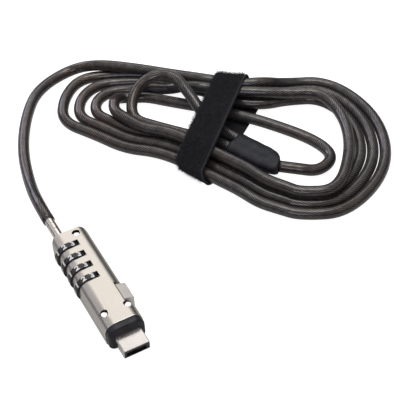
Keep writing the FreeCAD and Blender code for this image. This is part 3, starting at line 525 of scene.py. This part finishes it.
def makeSleeve():
    last, edge = sleeveShape["stations"] - 1, sleeveShape["edge"]
    shares = [i / last for i in range(last + 1)]
    rings = [sleeveRing(*lip) for lip in sleeveLips["front"]]
    rings += [sleeveRing(s, 0.0 if edge < s < 1 - edge else sleeveShape["edgeIn"]) for s in shares]
    rings += [sleeveRing(*lip) for lip in sleeveLips["rear"]]
    return outward(ringMesh("shrinkSleeve", rings, shrinkRubber))


shrinkSleeve = makeSleeve()
print("sleeve ready")


# hook-and-loop strap: a band pulled tight round four strands; drift is how far it lies sideways where each
# taut side and each bend begins
strapShape = {"top": (12.0, 30.0), "bottom": (-11.1, -33.2), "width": 15.4, "thick": 1.4, "room": 3.1,
              "inside": 0.1, "lip": 0.35, "steps": 190, "across": 10,
              "drift": [0.0, 0.0, 0.8, 8.4, 9.4, 2.6, -2.2, -0.2, 0.0],
              "waves": [(0.06, 37.0, 0.0), (0.04, 71.0, 2.0)], "waveFade": 0.03}
# those strands, clockwise: place along the band, height, and slant left and right of the band's middle
bandStrands = [(-17.6, 10.85, -0.29, -0.33), (30.95, 10.85, 0.06, 0.27), (30.3, 4.75, -0.16, 0.16),
               (-28.3, 4.75, -0.40, -0.40)]


def bandCentres(offset):
    return [(x + offset * (right if offset > 0 else left), z) for x, z, left, right in bandStrands]


def bandSides(centres):  # for each strand: the angle of the taut side that follows it, and that side's length
    sides = []
    for (x0, z0), (x1, z1) in zip(centres, centres[1:] + centres[:1]):
        sides.append((math.atan2(x1 - x0, z0 - z1), math.hypot(x1 - x0, z1 - z0)))
    return sides


def bandSpans():  # lengths of the taut sides and of the bends round the strands, at the band's middle
    sides = bandSides(bandCentres(0.0))
    spans = []
    for i, (angle, length) in enumerate(sides):
        bend = (angle - sides[(i + 1) % 4][0]) % (2 * math.pi)
        spans += [length, bend * (strapShape["room"] + strapShape["thick"] / 2)]
    return spans


bandLengths = bandSpans()


def strapPoint(turn, offset, out):  # turn 0..1 round the band, offset across it, out from its inner face
    centres = bandCentres(offset)
    sides = bandSides(centres)
    reach = strapShape["room"] + out
    s = (turn % 1.0) * sum(bandLengths)
    part = 0
    while part < len(bandLengths) - 1 and s > bandLengths[part]:
        s -= bandLengths[part]
        part += 1
    share = min(1.0, s / bandLengths[part])
    i = part // 2
    (x0, z0), (x1, z1) = centres[i], centres[(i + 1) % 4]
    angle = sides[i][0]
    if part % 2 == 0:
        x, z = x0 + (x1 - x0) * share, z0 + (z1 - z0) * share
    else:
        x, z = x1, z1
        angle -= ((angle - sides[(i + 1) % 4][0]) % (2 * math.pi)) * share
    x += math.cos(angle) * reach
    z += math.sin(angle) * reach
    (u1, v1), (u0, v0) = strapShape["top"], strapShape["bottom"]
    way = Vector((u1 - u0, v1 - v0, 0)).normalized()
    aside = Vector((way.y, -way.x, 0))
    lean = strapShape["drift"][part] * (1 - share) + strapShape["drift"][part + 1] * share
    place = Vector(((u0 + u1) / 2, (v0 + v1) / 2, 0)) + way * x + aside * (offset + lean)
    return onHank(place.x, place.y, z)


def strapRings():  # the band's section at each place round it: left edge, outer face, right edge, inner face
    low, thick, lip = strapShape["inside"], strapShape["thick"], strapShape["lip"]
    half = strapShape["width"] / 2
    span = 2 * (half - lip)
    shares = [i / strapShape["across"] for i in range(1, strapShape["across"])]
    section = [(-half + lip, low), (-half, low + lip), (-half, thick - lip), (-half + lip, thick)]
    section += [(-half + lip + span * share, thick) for share in shares]
    section += [(half - lip, thick), (half, thick - lip), (half, low + lip), (half - lip, low)]
    section += [(half - lip - span * share, low) for share in shares]
    rings = []
    for i in range(strapShape["steps"] + 1):
        turn = i / strapShape["steps"]
        wave = sum(high * math.sin(turn * rate + start) for high, rate, start in strapShape["waves"])
        wave *= min(1.0, turn / strapShape["waveFade"], (1 - turn) / strapShape["waveFade"])
        rings.append([strapPoint(turn, offset + wave, out) for offset, out in section])
    return rings


bandRings = strapRings()
hankStrap = outward(ringMesh("hankStrap", bandRings, strapFabric, closedEnds=False))


yarnShape = {"in": 0.55, "stand": 0.02, "radius": 0.16, "sides": 6}


def makeEdgeThread():  # one lighter yarn along the right edge of the band
    steps, offset = strapShape["steps"], strapShape["width"] / 2 - yarnShape["in"]
    line = [strapPoint(i / steps, offset, strapShape["thick"] + yarnShape["stand"]) for i in range(steps)]
    line.append(line[0].copy())
    rings = tubeRings(line, yarnShape["radius"] * mm, yarnShape["sides"])
    return outward(ringMesh("strapThread", rings, strapEdgeThread))


strapThread = makeEdgeThread()
print("strap ready")


# geometry trees: a group with named inputs, run once on an object and turned into a plain mesh
class Maker(Tree):
    def __init__(self, name, inputs):
        super().__init__(bpy.data.node_groups.new(name, "GeometryNodeTree"))
        face = self.nodeTree.interface
        face.new_socket("Geometry", in_out="INPUT", socket_type="NodeSocketGeometry")
        self.values = {}
        for key, value in inputs.items():
            kind = {int: "NodeSocketInt", float: "NodeSocketFloat"}.get(type(value), "NodeSocketVector")
            made = face.new_socket(key, in_out="INPUT", socket_type=kind)
            self.values[key] = (made.identifier, value)
        face.new_socket("Geometry", in_out="OUTPUT", socket_type="NodeSocketGeometry")
        self.source = self.nodeTree.nodes.new("NodeGroupInput")
        self.sink = self.nodeTree.nodes.new("NodeGroupOutput")

    def given(self, key):
        return Wire(self, self.source.outputs[key])

    def finish(self, geometry, material):
        real = self.add("GeometryNodeRealizeInstances", None, [geometry])
        painted = self.add("GeometryNodeSetMaterial", None, {"Geometry": real, "Material": material})
        self.nodeTree.links.new(painted.socket, self.sink.inputs[0])

    def run(self, holder, **changes):
        modifier = holder.modifiers.new("maker", "NODES")
        modifier.node_group = self.nodeTree
        for key, (identifier, value) in self.values.items():
            modifier[identifier] = changes.get(key, value)
        return settle(holder)


# number dials: ten lobes, a notch between each pair of numbers
dialShape = {"count": 4, "x": -3.3, "z": 7.5, "firstY": 5.1, "pitch": 7.1, "radius": 6.7, "bore": 4.0,
             "width": 3.0, "round": 240, "edge": 0.3, "edgeSteps": 3, "notches": 10, "notchDepth": 0.42,
             "notchWidth": 0.11, "rimInner": 0.9, "rimOuter": 0.5}
# the numbers on them: one is where 1 stands, as an angle round the dial
numberShape = {"one": 144.0, "apart": 36.0, "height": 2.35, "capShare": 0.70, "wide": 1.25, "bold": 0.13,
               "stand": 0.03, "deep": 0.12, "outline": 3, "longest": 0.35, "cuts": 3}


def dialMaker():
    maker = Maker("dialWheel", {"radius": dialShape["radius"] * mm, "bore": dialShape["bore"] * mm,
                                "width": dialShape["width"] * mm, "notchDepth": dialShape["notchDepth"] * mm,
                                "notchWidth": dialShape["notchWidth"], "notches": dialShape["notches"],
                                "centre": (0.0, 0.0, 0.0)})
    radius, bore, width, notches = [maker.given(key) for key in ("radius", "bore", "width", "notches")]
    path = maker.add("GeometryNodeCurvePrimitiveCircle", {"mode": "RADIUS"},
                     {"Resolution": dialShape["round"], "Radius": (radius + bore) * 0.5})
    section = maker.add("GeometryNodeCurvePrimitiveQuadrilateral", {"mode": "RECTANGLE"},
                        {"Width": radius - bore, "Height": width})
    section = maker.add("GeometryNodeFilletCurve", {"mode": "POLY"},
                        {"Curve": section, "Count": dialShape["edgeSteps"], "Radius": dialShape["edge"] * mm,
                         "Limit Radius": True})
    wheel = maker.add("GeometryNodeCurveToMesh", None, {"Curve": path, "Profile Curve": section})
    x, y, z = maker.apart(maker.add("GeometryNodeInputPosition"))
    far = (x * x + y * y) ** 0.5
    lobes = y.sum("ARCTAN2", y, x) * (1 / (2 * math.pi)) * notches + 0.5 + 10.0  # whole turns keep it above 0
    spot = (lobes.sum("FRACT", lobes) - 0.5).size() / notches * (2 * math.pi)  # angle from the nearest notch
    cut = 1.0 - spot.between(0.0, maker.given("notchWidth"))
    rim = far.between(radius - dialShape["rimInner"] * mm, radius - dialShape["rimOuter"] * mm)
    keep = 1.0 - cut * rim * maker.given("notchDepth") / far
    moved = maker.add("ShaderNodeCombineXYZ", None, [x * keep, y * keep, z])
    wheel = maker.add("GeometryNodeSetPosition", None, {"Geometry": wheel, "Position": moved})
    wheel = maker.add("GeometryNodeSetShadeSmooth", None, {"Geometry": wheel})
    upright = (math.pi / 2, 0.0, 0.0)
    wheel = maker.add("GeometryNodeTransform", None,
                      {"Geometry": wheel, "Translation": maker.given("centre"), "Rotation": upright})
    maker.finish(wheel, dialPlastic)
    return maker


def numberMesh(text):  # one number lying flat: its points and faces
    words = bpy.data.curves.new("number" + text, "FONT")
    words.body = text
    words.size = numberShape["height"] * mm / numberShape["capShare"]
    words.align_x = "CENTER"
    words.align_y = "CENTER"
    words.resolution_u = numberShape["outline"]
    words.offset = numberShape["bold"] * mm
    flat = flatMesh(keepMesh("number" + text, words))
    shape = bmesh.new()
    shape.from_mesh(flat)
    bmesh.ops.remove_doubles(shape, verts=shape.verts, dist=mergeGap)
    bmesh.ops.triangulate(shape, faces=shape.faces)
    longEdges = [e for e in shape.edges if e.calc_length() > numberShape["longest"] * mm]
    bmesh.ops.subdivide_edges(shape, edges=longEdges, cuts=numberShape["cuts"])
    bmesh.ops.triangulate(shape, faces=shape.faces)
    shape.verts.ensure_lookup_table()
    points = [v.co.copy() for v in shape.verts]
    faces = [[v.index for v in f.verts] for f in shape.faces]
    shape.free()
    bpy.data.meshes.remove(flat)
    low = min(p.y for p in points)
    high = max(p.y for p in points)
    return [Vector((p.x * numberShape["wide"], p.y - (low + high) / 2, 0)) for p in points], faces


def wrapNumbers(name, y, numbers):  # all ten numbers, bent round the dial's rim
    shape = bmesh.new()
    rim = (dialShape["radius"] + numberShape["stand"]) * mm
    axleX, axleZ = dialShape["x"] * mm, dialShape["z"] * mm
    for n, (points, faces) in enumerate(numbers):
        base = math.radians(numberShape["one"] - numberShape["apart"] * (n - 1))
        turns = [base - p.x / rim for p in points]
        made = [shape.verts.new((axleX + rim * math.cos(a), y + p.y, axleZ + rim * math.sin(a)))
                for p, a in zip(points, turns)]
        for face in faces:
            shape.faces.new([made[i] for i in face])
    shape.normal_update()
    for face in list(shape.faces):
        middle = face.calc_center_median()
        away = Vector((middle.x - axleX, 0, middle.z - axleZ))
        if face.normal.dot(away) < 0:
            face.normal_flip()
    mesh = bpy.data.meshes.new(name)
    shape.to_mesh(mesh)
    shape.free()
    made = keepMesh(name, mesh, numberPaint)
    thicken = made.modifiers.new("skin", "SOLIDIFY")
    thicken.thickness = numberShape["deep"] * mm
    thicken.offset = -1.0
    return settle(made)


wheels = dialMaker()
numberShapes = [numberMesh(str(n)) for n in range(10)]
for i in range(dialShape["count"]):
    dialY = (dialShape["firstY"] + i * dialShape["pitch"]) * mm
    dial, wheelName = "dial_%d" % (i + 1), "dialWheel%d" % (i + 1)
    wheel = wheels.run(keepMesh(wheelName, bpy.data.meshes.new(wheelName)),
                       centre=(dialShape["x"] * mm, dialY, dialShape["z"] * mm))
    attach(wheel, dial)
    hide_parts(dial)
    numbers = wrapNumbers("dialNumbers%d" % (i + 1), dialY, numberShapes)
    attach(numbers, dial)
print("dials ready")


# fine fibres that stand off the strap's left edge and outer face, away from the table and from the yarn
fuzzShape = {"density": 9000000.0, "length": 1.25 * mm, "thickness": 0.055 * mm, "tip": 0.004 * mm, "seed": 7,
             "lowest": 3.0 * mm, "bareFaces": 4, "tilt": 0.9, "tiltSeed": 3, "shortest": 0.3, "tallest": 1.7,
             "tallSeed": 5}


def fuzzBase():  # the faces that they stand on
    count = strapShape["across"] + 5  # section points from one edge over the outer face to the other edge
    points = [p for ring in bandRings for p in ring[1:1 + count]]
    faces = []
    for i in range(len(bandRings) - 1):
        for j in range(count - fuzzShape["bareFaces"]):
            first = i * count + j
            corners = (first, first + 1, first + count + 1, first + count)
            if min(points[c].z for c in corners) > fuzzShape["lowest"]:
                faces.append(corners)
    base = meshFrom("strapFuzz", points, faces, strapFibre, smooth=False)
    top = max(base.data.polygons, key=lambda face: face.center.z)
    if top.normal.z < 0:
        base.data.flip_normals()
    return base


def fuzzMaker():
    maker = Maker("strapFuzz", {key: fuzzShape[key] for key in ("density", "length", "thickness", "seed")})
    roots = maker.add("GeometryNodeDistributePointsOnFaces", None,
                      {"Mesh": maker.given("Geometry"), "Density": maker.given("density"),
                       "Seed": maker.given("seed")})
    fibre = maker.add("GeometryNodeMeshCone", {"fill_type": "NONE"},
                      {"Vertices": 3, "Radius Top": fuzzShape["tip"],
                       "Radius Bottom": maker.given("thickness"), "Depth": maker.given("length")})
    tilt = fuzzShape["tilt"]
    lean = maker.add("FunctionNodeRandomValue", {"data_type": "FLOAT_VECTOR"},
                     {"Min": (-tilt, -tilt, 0.0), "Max": (tilt, tilt, 6.28), "Seed": fuzzShape["tiltSeed"]})
    lean = maker.add("FunctionNodeRotateRotation", {"rotation_space": "LOCAL"},
                     [roots.other("Rotation"), lean])
    tall = maker.add("FunctionNodeRandomValue", {"data_type": "FLOAT"},
                     {2: fuzzShape["shortest"], 3: fuzzShape["tallest"], "Seed": fuzzShape["tallSeed"]},
                     output=1)
    fibres = maker.add("GeometryNodeInstanceOnPoints", None,
                       {"Points": roots, "Instance": fibre, "Rotation": lean, "Scale": tall})
    maker.finish(fibres, strapFibre)
    return maker


strapFuzz = fuzzMaker().run(fuzzBase())
print("strap fibres:", len(strapFuzz.data.polygons), "faces")


# release spring between its seat and the carriage, drawn at one length; the real one shortens as the slider
# goes forward
springShape = {"front": -13.875, "rear": -9.225, "z": 7.3, "radius": 2.75, "wire": 0.275, "turns": 4,
               "steps": 26, "sides": 8, "seat": -14.2, "travel": 1.3}


def makeSpring():
    count = springShape["turns"] * springShape["steps"]
    line = []
    for i in range(count + 1):
        a = 2 * math.pi * i / springShape["steps"]
        y = springShape["front"] + (springShape["rear"] - springShape["front"]) * i / count
        line.append(Vector((springShape["radius"] * math.sin(a), y,
                            springShape["z"] + springShape["radius"] * math.cos(a))) * mm)
    return cableTube("coilSpring", line, springShape["wire"] * mm, springShape["sides"], springSteel)[0]


coilSpring = makeSpring()
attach(coilSpring, "lock_head")
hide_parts("release_spring")
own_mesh(coilSpring)
print("spring ready")

# what each new piece rides on and stands for
for piece, body, nodes, slotName in (
        (securityCable, "cable_set", ["cable_lead", "cable_hank", "cable_tail"], "smoked_jacket"),
        (eyeLoop, "cable_set", ["cable_eye"], "smoked_jacket"),
        (shrinkSleeve, "cable_set", ["eye_sleeve"], "shrink_sleeve"),
        (hankStrap, "cable_set", ["hank_strap"], "strap_fabric"),
        (strapThread, "cable_set", [], "strap_fabric"), (strapFuzz, "cable_set", [], "strap_fabric")):
    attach(piece, body)
    if nodes:
        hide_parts(*nodes)

tuple(onHank(*eyeRoute[0]))

# finishes for the nodes that keep their own shape
nodeFinish = {"housing_body": satinNickel, "base_cover": satinNickel, "nose_collar": collarPlastic,
              "usb_shell": plugSteel, "usb_core": tonguePlastic, "locking_hooks": springSteel,
              "hook_pivot_pin": springSteel, "case_pins": pinSteel, "slider_button": sliderNickel,
              "slider_carriage": turnedBrass, "wedge_rod": springSteel, "spindle": springSteel,
              "detent_spring": springSteel, "swivel_washer": turnedBrass,
              "cable_ferrule": ferruleSteel, "eye_crimp": pressedAluminium}
for n in range(dialShape["count"]):
    nodeFinish["code_sleeve_%d" % (n + 1)] = turnedBrass
for name, material in nodeFinish.items():
    for holder in frame["nodes"][name].material_slots:
        holder.material = material
print("node finishes set:", len(nodeFinish))

# floor: plain and lit where the camera sees it, so that it keeps the object's shadow, and dimmer in mirrors
floorShape = {"half": 2.5, "colour": rgba(0.50, 0.50, 0.50), "lift": 0.92, "mirrorShare": 0.16}


def makeFloor():
    half = floorShape["half"]
    floor = meshFrom("tableTop", [(-half, -half, 0), (half, -half, 0), (half, half, 0), (-half, half, 0)],
                     [(0, 1, 2, 3)], None, smooth=False)
    finish = Finish("tableWhite", colour=floorShape["colour"], rough=0.9, specular=0.0)
    plain = Wire(finish, finish.shader.outputs[0])
    ray = finish.add("ShaderNodeLightPath")
    mirrored = ray.other("Is Glossy Ray") + ray.other("Is Transmission Ray")
    mirrored = mirrored.sum("MINIMUM", mirrored, 1.0) * floorShape["mirrorShare"]
    seen = mirrored.sum("MAXIMUM", mirrored, ray.other("Is Camera Ray"))
    glow = finish.add("ShaderNodeEmission", None, {"Color": rgba(1, 1, 1), "Strength": floorShape["lift"]})
    lifted = finish.add("ShaderNodeAddShader", None, [plain, glow])
    mixed = finish.add("ShaderNodeMixShader", None, [seen, plain, lifted])
    finish.nodeTree.links.new(mixed.socket, finish.nodeTree.nodes["Material Output"].inputs["Surface"])
    floor.data.materials.append(finish.material)


makeFloor()

# light: a soft dome that is bright above and dim near the table, and five lamps round the object
domeShape = {"top": rgba(1.0, 0.985, 0.965), "low": rgba(0.050, 0.050, 0.062), "heights": (0.22, 0.70),
             "strength": 0.52}
lampAim = (0.05, 0.05, 0.0)
lampPlan = [
    {"name": "backLamp", "place": (0.30, 0.62, 0.62), "size": (0.55, 0.42), "watts": 0.86,
     "colour": (1.0, 0.985, 0.96)},
    {"name": "topLamp", "place": (0.12, 0.12, 1.0), "size": (0.50, 0.50), "watts": 3.0,
     "colour": (1.0, 0.985, 0.95)},
    {"name": "farLeftLamp", "place": (-0.14, 0.85, 0.38), "size": (0.45, 0.30), "watts": 1.2,
     "colour": (0.84, 0.80, 1.0)},
    {"name": "leftLamp", "place": (-0.62, 0.58, 0.38), "size": (0.50, 0.30), "watts": 0.30,
     "colour": (0.88, 0.86, 1.0)},
    {"name": "frontLamp", "place": (-0.42, -0.66, 0.50), "size": (0.40, 0.28), "watts": 1.05,
     "colour": (0.86, 0.83, 1.0)}]


def makeDome():
    world = bpy.data.worlds.new("studio")
    bpy.context.scene.world = world
    world.use_nodes = True
    tree = Tree(world.node_tree)
    height = tree.apart(tree.add("ShaderNodeTexCoord"))[2].between(*domeShape["heights"])
    colour = tree.mixColour(height, domeShape["low"], domeShape["top"])
    background = world.node_tree.nodes["Background"]
    world.node_tree.links.new(colour.socket, background.inputs["Color"])
    background.inputs["Strength"].default_value = domeShape["strength"]


def makeLamps():
    for plan in lampPlan:
        light = bpy.data.lights.new(plan["name"], "AREA")
        light.shape = "RECTANGLE"
        light.size, light.size_y = plan["size"]
        light.energy = plan["watts"]
        light.color = plan["colour"]
        lamp = bpy.data.objects.new(plan["name"], light)
        sceneLinks.link(lamp)
        place = Vector(plan["place"])
        facing = (place - Vector(lampAim)).to_track_quat("Z", "Y")
        lamp.matrix_world = Matrix.Translation(place) @ facing.to_matrix().to_4x4()


makeDome()
makeLamps()

# camera at the photograph's angle
cameraPlan = {"target": (66.17, 33.40, 0.57), "azimuth": -26.11, "elevation": 45.5, "roll": -3.0,
              "distance": 527.0, "lens": 100.0, "sensor": 36.0, "nearest": 0.01}


def makeCamera():
    a, e, r = [math.radians(cameraPlan[key]) for key in ("azimuth", "elevation", "roll")]
    back = Vector((math.sin(a) * math.cos(e), -math.cos(a) * math.cos(e), math.sin(e)))
    right = Vector((math.cos(a), math.sin(a), 0))
    up = back.cross(right)
    turnedRight = right * math.cos(r) + up * math.sin(r)
    turnedUp = up * math.cos(r) - right * math.sin(r)
    place = (Vector(cameraPlan["target"]) + back * cameraPlan["distance"]) * mm
    data = bpy.data.cameras.new("photoCamera")
    data.lens = cameraPlan["lens"]
    data.sensor_width = cameraPlan["sensor"]
    data.clip_start = cameraPlan["nearest"]
    camera = bpy.data.objects.new("photoCamera", data)
    sceneLinks.link(camera)
    turn = Matrix((turnedRight, turnedUp, back)).transposed()
    camera.matrix_world = Matrix.Translation(place) @ turn.to_4x4()
    bpy.context.scene.camera = camera


makeCamera()
bpy.context.scene.view_settings.view_transform = "Standard"
